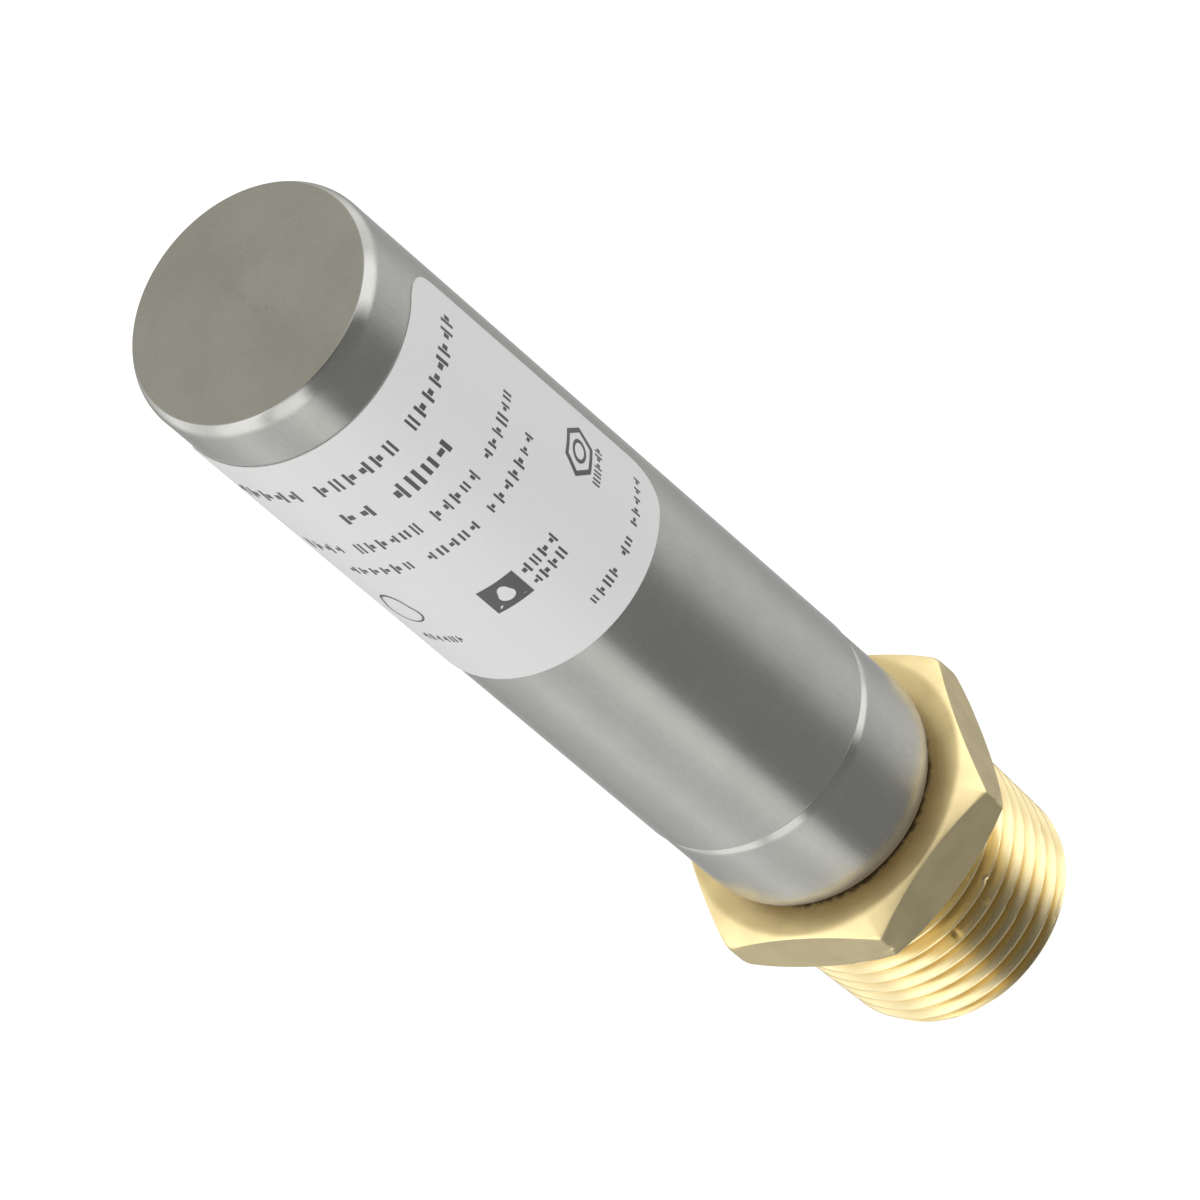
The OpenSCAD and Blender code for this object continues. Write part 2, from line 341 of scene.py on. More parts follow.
def machined_brass(finishes, sizes, lip_foot):
    """Turned brass: turned rings, dull drawn flats, thread roots with painted shade, grime and
    painted shadow by the tube's lip.
    """
    made, tree, shader = new_material("machined_brass")
    coordinates, parts = surface_points(tree)
    radius = axis_radius(tree, parts)
    facing = node(tree, "ShaderNodeSeparateXYZ")
    feed(tree, facing.inputs[0], node(tree, "ShaderNodeTexCoord").outputs["Normal"])
    tilt = calc(tree, "ABSOLUTE", facing.outputs[2])
    on_hexagon = remap(tree, parts[2], sizes.thread_length - 0.01 * MM,
                       sizes.thread_length + 0.05 * MM, 0.0, 1.0)
    flats = calc(tree, "MULTIPLY", remap(tree, tilt, 0.3, 0.6, 1.0, 0.0), on_hexagon)
    faces = calc(tree, "MULTIPLY", remap(tree, tilt, 0.3, 0.6, 0.0, 1.0), on_hexagon)
    around = node(tree, "ShaderNodeCombineXYZ")
    feed(tree, around.inputs[0], calc(tree, "MULTIPLY", radius, 7000.0))
    feed(tree, around.inputs[1], calc(tree, "MULTIPLY", parts[2], 7000.0))
    feed(tree, around.inputs[2], calc(tree, "MULTIPLY", calc(
        tree, "ARCTAN2", parts[1], parts[0]), 4.0))
    turned = noise(tree, around.outputs[0], 1.0, 4.0)
    drawn = noise(tree, stretched(tree, coordinates, (6000, 6000, 300)), 1.0, 4.0)
    marks = calc(tree, "ADD", calc(tree, "MULTIPLY", drawn, flats), calc(
        tree, "MULTIPLY", turned, calc(tree, "SUBTRACT", 1.0, flats)))
    shader.inputs["Metallic"].default_value = 1.0
    turning = remap(tree, marks, 0.3, 0.7, 0.0, 1.0)
    # Thread colour goes from paler crests to darker, deeper-hued roots: painted highlight on the
    # crests and painted shade in the roots
    over = calc(tree, "ADD", sizes.thread_radius,
                calc(tree, "MULTIPLY", parts[2], 1 / (2 * sizes.taper)))
    root_shade_share = remap(tree, calc(tree, "SUBTRACT", over, radius), 0.2 * MM, 0.9 * MM, 0.0, 1.0)
    shaded_threads = blend_colour(tree, root_shade_share, rgba(finishes.crests), rgba(finishes.roots))
    shaded_threads = blend_colour(tree, calc(tree, "MULTIPLY", turning, 0.12), shaded_threads,
                           (0.1, 0.07, 0.03, 1))
    colour = blend_colour(tree, turning, rgba(finishes.brass, 1.14), rgba(finishes.brass, 1.2))
    colour = blend_colour(tree, on_hexagon, shaded_threads, colour)
    dull = calc(tree, "MULTIPLY", patchy(tree, coordinates, 330.0, 0.0, 0.3), faces)
    dull = calc(tree, "ADD", dull, calc(tree, "MULTIPLY", faces, remap(
        tree, radius, lip_foot + 0.3 * MM, lip_foot + 1.4 * MM, 0.05, 0.0)), clamp=True)
    colour = blend_colour(tree, dull, colour, rgba(finishes.tarnish))
    flat_colour = blend_colour(tree, patchy(tree, coordinates, 420.0, 0.0, 1.0),
                               rgba(finishes.flats, 0.94), rgba(finishes.flats, 1.05))
    colour = blend_colour(tree, flats, colour, flat_colour)
    # Dark brown ring on the hexagon's face where the tube's lip sits: grime with painted contact
    # shadow; the specks are dirt
    wander = noise(tree, coordinates, 1300.0, 3.0)
    edge = calc(tree, "ADD", radius, calc(tree, "MULTIPLY", wander, -0.9 * MM))
    near = remap(tree, edge, lip_foot - 0.4 * MM, lip_foot + 0.05 * MM, 1.0, 0.0, True)
    specks = calc(tree, "MULTIPLY", remap(tree, noise(tree, coordinates, 4200.0, 3.0),
                                          0.62, 0.68, 0.0, 0.7),
                  remap(tree, radius, lip_foot + 0.4 * MM, lip_foot + 1.0 * MM, 1.0, 0.0))
    top = sizes.thread_length + sizes.hex_height
    level = remap(tree, parts[2], top - 0.02 * MM, top - 0.005 * MM, 0.0, 0.9)
    grime_and_shade = calc(tree, "MULTIPLY", calc(tree, "MAXIMUM", near, specks), level)
    colour = blend_colour(tree, grime_and_shade, colour, (0.12, 0.075, 0.04, 1))
    feed(tree, shader.inputs["Base Color"], colour)
    rough = remap(tree, marks, 0.25, 0.75, finishes.brass_roughness - 0.03,
                  finishes.brass_roughness + 0.05)
    rough = calc(tree, "ADD", rough, calc(tree, "MULTIPLY", flats, 0.4))
    rough = calc(tree, "ADD", rough, calc(tree, "MULTIPLY", faces, 0.22))
    feed(tree, shader.inputs["Roughness"],
         calc(tree, "ADD", rough, calc(tree, "MULTIPLY", grime_and_shade, 0.3)))
    bump(tree, shader, marks, 0.005 * MM, 0.5)
    return made


def plain_finish(name, colour, roughness, speckle):
    """A dull finish with a faint speckle, for rubber, plastic, film and ink."""
    made, tree, shader = new_material(name)
    coordinates, parts = surface_points(tree)
    fine = noise(tree, coordinates, 1800.0, 3.0)
    feed(tree, shader.inputs["Base Color"],
         blend_colour(tree, remap(tree, fine, 0.25, 0.75, 0.0, 1.0),
                      rgba(colour, 1 - speckle), rgba(colour, 1 + speckle)))
    feed(tree, shader.inputs["Roughness"],
         remap(tree, fine, 0.25, 0.75, roughness - 0.03, roughness + 0.03))
    bump(tree, shader, fine, 0.004 * MM, 0.3)
    return made


def arc(middle_r, middle_z, radius, start, end, steps):
    """Points along an arc of the half section, by angles in degrees."""
    points = []
    for step in range(steps + 1):
        turn = math.radians(start + (end - start) * step / steps)
        points.append((middle_r + radius * math.cos(turn), middle_z + radius * math.sin(turn)))
    return points


def eased(corners, steps=4):
    """A half section whose corners, given as radius, height and cut, are rounded."""
    points = []
    count = len(corners)
    for index, (r, z, cut) in enumerate(corners):
        if not cut:
            points.append((r, z))
            continue
        here = Vector((r, z))
        ends = []
        for other in (corners[index - 1], corners[(index + 1) % count]):
            away = Vector(other[:2]) - here
            ends.append(here + away.normalized() * min(cut, away.length * 0.45))
        for step in range(steps + 1):
            t = step / steps
            point = ends[0] * (1 - t) ** 2 + here * 2 * t * (1 - t) + ends[1] * t ** 2
            points.append(tuple(point))
    return points


def sharp(points):
    """Points of a half section as corners without a cut."""
    return [(r, z, 0) for r, z in points]


def grid_object(name, columns, closed_section, material, crease=35.0):
    """A mesh of columns of points, joined round the axis, welded and turned outwards."""
    rows = len(columns[0])
    vertices = [point for column in columns for point in column]
    faces = []
    for index in range(len(columns)):
        following = (index + 1) % len(columns)
        for row in range(rows if closed_section else rows - 1):
            above = (row + 1) % rows
            faces.append((index * rows + row, following * rows + row,
                          following * rows + above, index * rows + above))
    mesh = bpy.data.meshes.new(name)
    mesh.from_pydata(vertices, [], faces)
    made = bpy.data.objects.new(name, mesh)
    bpy.context.scene.collection.objects.link(made)
    tidy_mesh(mesh, crease)
    mesh.materials.append(material)
    return made


def tidy_mesh(mesh, crease):
    """Welds points, turns faces outwards and shades smooth up to a crease angle in degrees."""
    work = bmesh.new()
    work.from_mesh(mesh)
    bmesh.ops.remove_doubles(work, verts=work.verts, dist=0.001 * MM)
    bmesh.ops.dissolve_degenerate(work, edges=work.edges, dist=0.0002 * MM)
    bmesh.ops.delete(work, geom=[edge for edge in work.edges if edge.is_wire], context="EDGES")
    bmesh.ops.recalc_face_normals(work, faces=work.faces)
    work.to_mesh(mesh)
    work.free()
    mesh.shade_smooth()
    mesh.set_sharp_from_angle(angle=math.radians(crease))


def need_closed(made):
    """Stops the script if a finished piece isn't a closed shell."""
    work = bmesh.new()
    work.from_mesh(made.data)
    loose = sum(1 for edge in work.edges if not edge.is_manifold)
    volume = work.calc_volume(signed=True)
    work.free()
    if loose or volume <= 0:
        raise RuntimeError(f"{made.name}: {loose} open edges, volume {volume}")


def revolved(section, count):
    """Columns of points from one half section."""
    columns = []
    for index in range(count):
        turn = 2 * math.pi * index / count
        columns.append([(r * math.cos(turn), r * math.sin(turn), z) for r, z in section])
    return columns


def tube_section(sizes):
    """Closed half section of the tube: outside, closed end, hollow and curled lip."""
    bore = sizes.radius - sizes.wall
    neck = sizes.radius - sizes.neck_step
    neck_bore = neck - sizes.wall
    floor_r = sizes.radius - sizes.groove_depth
    crease = sizes.bottom + sizes.groove_height
    lip_r = neck - sizes.lip
    lip_z = sizes.bottom + sizes.lip * math.sin(sizes.lip_turn)
    lip_end = -math.degrees(sizes.lip_turn)
    rise = math.sqrt(sizes.wall ** 2 - (bore - floor_r) ** 2)
    fall = math.sqrt(sizes.wall ** 2 - (floor_r - neck_bore) ** 2)
    ridge_start = math.degrees(math.atan2(rise, bore - floor_r))
    ridge_end = math.degrees(math.atan2(-fall, neck_bore - floor_r)) % 360
    cap_r = sizes.radius - sizes.cap_edge
    cap_z = sizes.top - sizes.cap_height
    flat_r = cap_r + math.sqrt(sizes.cap_edge ** 2 - sizes.cap_height ** 2)
    crease_turn = math.degrees(math.asin(sizes.cap_height / sizes.cap_edge))
    inner_edge = sizes.cap_edge - sizes.wall
    inner_turn = math.degrees(math.asin((sizes.cap_height - sizes.wall) / inner_edge))
    corners = sharp(arc(lip_r, lip_z, sizes.lip, lip_end, 0, 18))
    corners[0] = corners[0][:2] + (0.1 * MM,)
    corners += [(neck, crease - sizes.groove_slope, 0.25 * MM), (floor_r, crease, 0.1 * MM)]
    corners += sharp(arc(floor_r, crease + sizes.groove_depth, sizes.groove_depth, -72, 0, 14))
    corners += sharp(arc(cap_r, cap_z, sizes.cap_edge, 0, crease_turn * 0.93, 12))
    corners += [(flat_r, sizes.top, 0.1 * MM), (flat_r * 0.97, sizes.top, 0),
                (0, sizes.top, 0), (0, sizes.top - sizes.wall, 0)]
    corners += sharp(arc(cap_r, cap_z, inner_edge, inner_turn, 0, 6))
    corners += sharp(arc(floor_r, crease, sizes.wall, ridge_start, ridge_end, 20))
    corners += sharp(arc(lip_r, lip_z, sizes.lip - sizes.wall, 0, lip_end, 12))
    return eased(corners)


def corner_shape(sizes, turn):
    """Radius of the nearest upright edge, its middle's distance, and its half width as a turn."""
    corner = sizes.worn_corner if abs(math.cos(turn)) > math.cos(math.pi / 6) else sizes.corner
    middle = (sizes.hex_half - corner) / math.cos(math.pi / 6)
    return corner, middle, math.atan2(corner / 2, middle + corner * math.cos(math.pi / 6))


def hex_radius(sizes, turn):
    """Radius of the hexagon's outline in a direction, with rounded upright edges."""
    sixth = math.pi / 3
    off = abs((turn + sixth / 2) % sixth - sixth / 2)
    corner, middle, limit = corner_shape(sizes, turn)
    if off < limit:
        return middle * math.cos(off) + math.sqrt(corner ** 2 - (middle * math.sin(off)) ** 2)
    return sizes.hex_half / math.cos(math.pi / 6 - off)


def corner_turn(sizes, index):
    """Direction of a column, drawn in towards a corner of the hexagon near it."""
    each = 2 * math.pi / sizes.columns
    per_side = sizes.columns // 6
    off = (index + per_side // 2) % per_side - per_side // 2
    if abs(off) <= 4:
        corner = (index - off) * each
        return corner + corner_shape(sizes, corner)[2] * off / 4
    return index * each


def thread_radius(sizes, turn, z):
    """Radius of the tapered thread in a direction, at a height above its end face."""
    flank = (sizes.pitch - sizes.crest - sizes.root) / 2
    depth = flank / math.tan(math.radians(30))
    place = ((z - sizes.crest_height) / sizes.pitch - turn / (2 * math.pi)) % 1.0
    off = min(place, 1 - place) * sizes.pitch
    height = min(1.0, max(0.0, (flank + sizes.crest / 2 - off) / flank))
    over = sizes.thread_radius + z / (2 * sizes.taper)
    return min(over - depth * (1 - height), sizes.thread_radius - sizes.end_bevel + z)


# Small dents in the brass: direction in degrees, height, reach and depth in millimetres
DENTS = [(-120, 17.5, 0.55, 0.22), (-119.3, 16.8, 0.35, 0.16), (-60, 17.05, 0.6, 0.24),
         (-61, 17.9, 0.3, 0.14), (-104.8, 9.4, 0.28, 0.14), (-85.2, 9.5, 0.28, 0.14),
         (-80.2, 7.15, 0.25, 0.14), (-80.2, 5.3, 0.25, 0.14), (-81.8, 13.15, 0.35, 0.2),
         (-79, 11, 0.3, 0.2), (-150, 12.4, 0.3, 0.14), (-35, 3.9, 0.3, 0.14)]


def dented(mesh):
    """Presses the dents towards the axis into the outside of the fitting."""
    for degrees, z, reach, depth in DENTS:
        turn = math.radians(degrees)
        aim = Vector((math.cos(turn), math.sin(turn), 0))
        for vertex in mesh.vertices:
            if abs(vertex.co.z - z * MM) > reach * MM or vertex.co.dot(aim) < 8.9 * MM:
                continue
            out = Vector((vertex.co.x, vertex.co.y, 0))
            off = (out - aim * out.length + Vector((0, 0, vertex.co.z - z * MM))).length
            if off < reach * MM:
                press = depth * MM * (1 - (off / (reach * MM)) ** 2) ** 2
                vertex.co -= out.normalized() * press


def fitting_columns(sizes, tube):
    """Points of the fitting from the thread's top round over the hexagon, spigot and bore."""
    hex_low = sizes.thread_length
    hex_high = hex_low + sizes.hex_height
    face = sizes.hex_half - sizes.face_inset
    slope = math.tan(sizes.bevel_slope)
    fit = 0.05 * MM
    neck = tube.radius - tube.neck_step
    neck_bore = neck - tube.wall
    spigot = neck_bore - fit
    lip_r = neck - tube.lip
    lip_z = tube.bottom + tube.lip * math.sin(tube.lip_turn)
    undercut = arc(lip_r, lip_z, tube.lip - tube.wall - fit, -math.degrees(tube.lip_turn), 0, 8)
    crease = tube.bottom + tube.groove_height
    floor_r = tube.radius - tube.groove_depth
    recess = tube.wall + fit
    half_recess = math.sqrt(recess ** 2 - (floor_r - spigot) ** 2)
    start = math.degrees(math.atan2(-half_recess, spigot - floor_r)) % 360
    ring_middle = (seal_low.z + seal_high.z) / 2
    ring_half = (seal_high.z - seal_low.z) / 2 + 0.3 * MM
    ring_floor = seal_high.x - 2 * (seal_high.z - ring_middle) - 0.03 * MM
    bevel = 0.6 * MM
    inside = [(undercut[0][0], hex_high, 0)] + sharp(undercut)
    inside += [(spigot, ring_middle - ring_half, 0), (ring_floor, ring_middle - ring_half, 0),
               (ring_floor, ring_middle + ring_half, 0), (spigot, ring_middle + ring_half, 0)]
    inside += sharp(arc(floor_r, crease, recess, start, 360 - start, 10))
    inside += [(spigot, sizes.spigot_top - bevel, 0), (spigot - bevel, sizes.spigot_top, 0),
               (sizes.bore + sizes.bore_bevel, sizes.spigot_top, 0),
               (sizes.bore, sizes.spigot_top - sizes.bore_bevel, 0),
               (sizes.bore, sizes.bore_bevel, 0),
               (sizes.bore + sizes.bore_bevel, 0, 0)]
    columns = []
    for index in range(sizes.columns):
        turn = 2 * math.pi * index / sizes.columns
        bent = corner_turn(sizes, index)
        outline = hex_radius(sizes, bent)
        drop = (outline - face) * slope
        low_edge = hex_low + drop
        high_edge = hex_high - drop
        worn = max(0.0, (outline - sizes.hex_half) / (sizes.hex_half * 0.1547)) ** 3
        softness = 0.8 if abs(math.cos(bent)) > math.cos(math.pi / 6) else 0.3
        cut = (0.08 + softness * worn) * MM
        outer = [(face - 0.9 * MM, hex_low, 0), (face, hex_low, 0.4 * MM),
                 (outline, low_edge, cut)]
        rows = 22
        height = high_edge - low_edge
        kept = min(2.2 * cut, 0.48 * height)
        outer += [(outline, low_edge + kept + (height - 2 * kept) * row / (rows - 2), 0)
                  for row in range(rows - 1)]
        outer += [(outline, high_edge, cut), (face, hex_high, 0.3 * MM),
                  (face - 0.9 * MM, hex_high, 0)]
        section = eased(outer, 3)
        column = [(r * math.cos(bent), r * math.sin(bent), z) for r, z in section]
        column += [(r * math.cos(turn), r * math.sin(turn), z) for r, z, cut in inside]
        first = thread_radius(sizes, turn, sizes.thread_length)
        last = thread_radius(sizes, turn, 0.0)
        column.insert(0, (first * math.cos(turn), first * math.sin(turn), hex_low))
        column.append((last * math.cos(turn), last * math.sin(turn), 0.0))
        columns.append(column)
    return columns


def group_tree(name, inputs):
    """A Geometry Nodes tree with named inputs; gives the tree and its input sockets by name."""
    tree = bpy.data.node_groups.new(name, "GeometryNodeTree")
    tree.interface.new_socket(name="Geometry", in_out="OUTPUT", socket_type="NodeSocketGeometry")
    for label, kind, value in inputs:
        socket = tree.interface.new_socket(name=label, in_out="INPUT",
                                           socket_type="NodeSocket" + kind)
        if value is not None:
            socket.default_value = value
    entry = tree.nodes.new("NodeGroupInput")
    return tree, entry.outputs


def finish_tree(tree, geometry, material):
    """Realizes instances, sets the material and ends the tree."""
    real = tree.nodes.new("GeometryNodeRealizeInstances")
    painted = tree.nodes.new("GeometryNodeSetMaterial")
    leave = tree.nodes.new("NodeGroupOutput")
    tree.links.new(geometry, real.inputs[0])
    tree.links.new(real.outputs[0], painted.inputs[0])
    feed(tree, painted.inputs["Material"], material)
    tree.links.new(painted.outputs[0], leave.inputs[0])


def made_by_tree(name, tree, values):
    """Runs a tree on an empty mesh and gives the result as a plain mesh object."""
    work = bpy.data.objects.new(name + "_work", bpy.data.meshes.new(name + "_work"))
    bpy.context.scene.collection.objects.link(work)
    modifier = work.modifiers.new("Tree", "NODES")
    modifier.node_group = tree
    for item in tree.interface.items_tree:
        if item.in_out == "INPUT" and item.name in values:
            modifier[item.identifier] = values[item.name]
    graph = bpy.context.evaluated_depsgraph_get()
    mesh = bpy.data.meshes.new_from_object(work.evaluated_get(graph))
    mesh.name = name
    work.modifiers.remove(modifier)
    bpy.data.objects.remove(work)
    if not mesh.polygons:
        raise RuntimeError(f"{name}: the tree made no faces")
    return mesh


def thread_tree():
    """Tree for a tapered thread that follows its helix."""
    tree, given = group_tree("Tapered Thread", [
        ("Columns", "Int", 288), ("Steps", "Int", 16), ("Turns", "Int", 11),
        ("Pitch", "Float", 0.001814), ("Length", "Float", 0.0152),
        ("End Radius", "Float", 0.0104), ("Taper", "Float", 16.0), ("Crest", "Float", 0.00025),
        ("Root", "Float", 0.0001), ("Crest Height", "Float", 0.0005),
        ("End Bevel", "Float", 0.00045), ("Material", "Material", None)])
    rows = calc(tree, "MULTIPLY", given["Steps"], given["Turns"])
    grid = tree.nodes.new("GeometryNodeMeshGrid")
    feed(tree, grid.inputs["Vertices X"], calc(tree, "ADD", given["Columns"], 1))
    feed(tree, grid.inputs["Vertices Y"], calc(tree, "ADD", rows, 1))
    parts = tree.nodes.new("ShaderNodeSeparateXYZ")
    feed(tree, parts.inputs[0], tree.nodes.new("GeometryNodeInputPosition").outputs[0])
    column = calc(tree, "ROUND", calc(tree, "MULTIPLY", calc(tree, "ADD", parts.outputs[0], 0.5),
                                      given["Columns"]))
    row = calc(tree, "ROUND", calc(tree, "MULTIPLY", calc(tree, "ADD", parts.outputs[1], 0.5),
                                   rows))
    turned = calc(tree, "DIVIDE", column, given["Columns"])
    turn = calc(tree, "MULTIPLY", calc(tree, "FRACT", turned), 2 * math.pi)
    climb = calc(tree, "ADD", calc(tree, "SUBTRACT", calc(tree, "DIVIDE", row, given["Steps"]), 2),
                 turned)
    raw = calc(tree, "ADD", given["Crest Height"], calc(tree, "MULTIPLY", climb, given["Pitch"]))
    z = calc(tree, "MINIMUM", calc(tree, "MAXIMUM", raw, 0.0), given["Length"])
    place = calc(tree, "SUBTRACT", calc(tree, "DIVIDE", calc(tree, "SUBTRACT", z,
                                                             given["Crest Height"]),
                                        given["Pitch"]), turned)
    part = calc(tree, "FRACT", place)
    off = calc(tree, "MULTIPLY", calc(tree, "MINIMUM", part, calc(tree, "SUBTRACT", 1, part)),
               given["Pitch"])
    flank = calc(tree, "MULTIPLY", 0.5, calc(tree, "SUBTRACT", calc(
        tree, "SUBTRACT", given["Pitch"], given["Crest"]), given["Root"]))
    depth = calc(tree, "DIVIDE", flank, math.tan(math.radians(30)))
    reach = calc(tree, "SUBTRACT", calc(tree, "ADD", flank, calc(
        tree, "MULTIPLY", given["Crest"], 0.5)), off)
    height = calc(tree, "DIVIDE", reach, flank, clamp=True)
    over = calc(tree, "ADD", given["End Radius"], calc(
        tree, "DIVIDE", z, calc(tree, "MULTIPLY", given["Taper"], 2)))
    ridge = calc(tree, "SUBTRACT", over, calc(tree, "MULTIPLY", depth,
                                              calc(tree, "SUBTRACT", 1, height)))
    edge = calc(tree, "ADD", calc(tree, "SUBTRACT", given["End Radius"], given["End Bevel"]), z)
    radius = calc(tree, "MINIMUM", ridge, edge)
    place_at = tree.nodes.new("ShaderNodeCombineXYZ")
    feed(tree, place_at.inputs[0], calc(tree, "MULTIPLY", radius, calc(tree, "COSINE", turn)))
    feed(tree, place_at.inputs[1], calc(tree, "MULTIPLY", radius, calc(tree, "SINE", turn)))
    feed(tree, place_at.inputs[2], z)
    moved = tree.nodes.new("GeometryNodeSetPosition")
    feed(tree, moved.inputs["Geometry"], grid.outputs[0])
    feed(tree, moved.inputs["Position"], place_at.outputs[0])
    welded = tree.nodes.new("GeometryNodeMergeByDistance")
    feed(tree, welded.inputs["Geometry"], moved.outputs[0])
    welded.inputs["Distance"].default_value = 0.001 * MM
    finish_tree(tree, welded.outputs[0], given["Material"])
    return tree


def printed_mark(tree, bars):
    """One printed mark of upright bars, given as place, width and height."""
    joined = tree.nodes.new("GeometryNodeJoinGeometry")
    for place, wide, tall in bars:
        cube = tree.nodes.new("GeometryNodeMeshCube")
        cube.inputs["Vertices X"].default_value = 3
        moved = tree.nodes.new("GeometryNodeTransform")
        feed(tree, moved.inputs["Geometry"], cube.outputs[0])
        moved.inputs["Translation"].default_value = (place, 0, 0)
        moved.inputs["Scale"].default_value = (wide, 1, tall)
        tree.links.new(moved.outputs[0], joined.inputs[0])
    single = tree.nodes.new("GeometryNodeGeometryToInstance")
    feed(tree, single.inputs[0], joined.outputs[0])
    return single.outputs[0]


def print_tree():
    """Tree for one row of small printed blocks that follows the label round the tube."""
    tree, given = group_tree("Printed Row", [
        ("Blocks", "Int", 20), ("Start", "Float", 0.0), ("End", "Float", 1.0),
        ("Middle Height", "Float", 0.09), ("Row Height", "Float", 0.0015),
        ("Radius", "Float", 0.01074), ("Ink", "Float", 0.000015), ("Filled", "Float", 0.7),
        ("Low Share", "Float", 1.0), ("Space One", "Int", -1), ("Space Two", "Int", -1),
        ("Space Three", "Int", -1), ("Seed", "Int", 0), ("Material", "Material", None)])
    line = tree.nodes.new("GeometryNodeMeshLine")
    feed(tree, line.inputs["Count"], given["Blocks"])
    line.inputs["Offset"].default_value = (1, 0, 0)
    index = tree.nodes.new("GeometryNodeInputIndex").outputs[0]
    gaps = [calc(tree, "COMPARE", index, given[name], 0.1)
            for name in ("Space One", "Space Two", "Space Three")]
    gap = calc(tree, "ADD", calc(tree, "ADD", gaps[0], gaps[1]), gaps[2])
    kept = tree.nodes.new("GeometryNodeDeleteGeometry")
    feed(tree, kept.inputs["Geometry"], line.outputs[0])
    feed(tree, kept.inputs["Selection"], calc(tree, "GREATER_THAN", gap, 0.5))
    kinds = tree.nodes.new("GeometryNodeJoinGeometry")
    for bars in (((-0.33, 0.32, 1.0), (0.33, 0.32, 1.0)), ((-0.33, 0.32, 1.0), (0.2, 0.5, 0.4)),
                 ((-0.2, 0.5, 0.4), (0.33, 0.32, 1.0))):
        tree.links.new(printed_mark(tree, bars), kinds.inputs[0])
    copies = tree.nodes.new("GeometryNodeInstanceOnPoints")
    feed(tree, copies.inputs["Points"], kept.outputs[0])
    feed(tree, copies.inputs["Instance"], kinds.outputs[0])
    copies.inputs["Pick Instance"].default_value = True
    chosen = tree.nodes.new("FunctionNodeRandomValue")
    chosen.data_type = "INT"
    feed(tree, chosen.inputs["Seed"], calc(tree, "ADD", given["Seed"], 90))
    chosen.inputs[4].default_value = 0
    chosen.inputs[5].default_value = 2
    feed(tree, copies.inputs["Instance Index"], chosen.outputs[2])
    width = tree.nodes.new("FunctionNodeRandomValue")
    feed(tree, width.inputs["Seed"], given["Seed"])
    width.inputs[2].default_value = 0.7
    width.inputs[3].default_value = 1.0
    tall = tree.nodes.new("FunctionNodeRandomValue")
    feed(tree, tall.inputs["Seed"], calc(tree, "ADD", given["Seed"], 50))
    low = calc(tree, "GREATER_THAN", tall.outputs[1], 0.4)
    drop = calc(tree, "MULTIPLY", low, calc(tree, "SUBTRACT", 1, given["Low Share"]))
    scale = tree.nodes.new("ShaderNodeCombineXYZ")
    feed(tree, scale.inputs[0], calc(tree, "MULTIPLY", width.outputs[1], given["Filled"]))
    feed(tree, scale.inputs[1], given["Ink"])
    feed(tree, scale.inputs[2], calc(tree, "MULTIPLY", given["Row Height"],
                                     calc(tree, "SUBTRACT", 1, drop)))
    feed(tree, copies.inputs["Scale"], scale.outputs[0])
    real = tree.nodes.new("GeometryNodeRealizeInstances")
    feed(tree, real.inputs[0], copies.outputs[0])
    parts = tree.nodes.new("ShaderNodeSeparateXYZ")
    feed(tree, parts.inputs[0], tree.nodes.new("GeometryNodeInputPosition").outputs[0])
    along = calc(tree, "DIVIDE", calc(tree, "ADD", parts.outputs[0], 0.5), given["Blocks"])
    turn = calc(tree, "ADD", given["Start"], calc(
        tree, "MULTIPLY", along, calc(tree, "SUBTRACT", given["End"], given["Start"])))
    radius = calc(tree, "SUBTRACT", given["Radius"], parts.outputs[1])
    place_at = tree.nodes.new("ShaderNodeCombineXYZ")
    feed(tree, place_at.inputs[0], calc(tree, "MULTIPLY", radius, calc(tree, "COSINE", turn)))
    feed(tree, place_at.inputs[1], calc(tree, "MULTIPLY", radius, calc(tree, "SINE", turn)))
    feed(tree, place_at.inputs[2], calc(tree, "ADD", given["Middle Height"], parts.outputs[2]))
    moved = tree.nodes.new("GeometryNodeSetPosition")
    feed(tree, moved.inputs["Geometry"], real.outputs[0])
    feed(tree, moved.inputs["Position"], place_at.outputs[0])
    finish_tree(tree, moved.outputs[0], given["Material"])
    return tree


# The label's print: middle and height of each row, its ends seen from the camera's side in
# degrees, the number of blocks, the gaps between words, how much is filled and the low blocks
PRINT_ROWS = [
    (93.7, 1.65, -83, 56, 21, (5, 12, -1), 0.72, 1.0),
    (89.4, 2.1, -46, 10, 7, (2, -1, -1), 0.82, 0.72),
    (85.1, 1.5, -80, 45, 24, (4, 11, 17), 0.68, 0.72),
    (81.5, 1.5, -70, 36, 20, (6, 12, -1), 0.68, 0.72),
    (74.3, 1.25, -11, 10, 4, (-1, -1, -1), 0.75, 1.0),
    (72.6, 1.25, -11, 8, 4, (-1, -1, -1), 0.75, 0.72),
    (72.2, 1.0, 37, 55, 5, (-1, -1, -1), 0.8, 1.0),
    (70.1, 1.0, -74, -53, 6, (-1, -1, -1), 0.72, 1.0),
    (66.6, 1.2, -2, 57, 13, (4, 7, -1), 0.7, 0.72),
]
FACING = -96.5


def wrapped_plate(vertices, faces, outer, inner, radius, ink):
    """Adds a flat closed frame between two outlines, wrapped on the label."""
    count = len(outer)
    base = len(vertices)
    for ring, depth in ((outer, ink / 2), (inner, ink / 2), (inner, -ink / 2), (outer, -ink / 2)):
        for along, z in ring:
            turn = along / radius
            reach = radius + depth
            vertices.append((reach * math.cos(turn), reach * math.sin(turn), z))
    for part in range(4):
        for index in range(count):
            following = (index + 1) % count
            here = base + part * count
            there = base + (part + 1) % 4 * count
            faces.append((here + index, here + following, there + following, there + index))


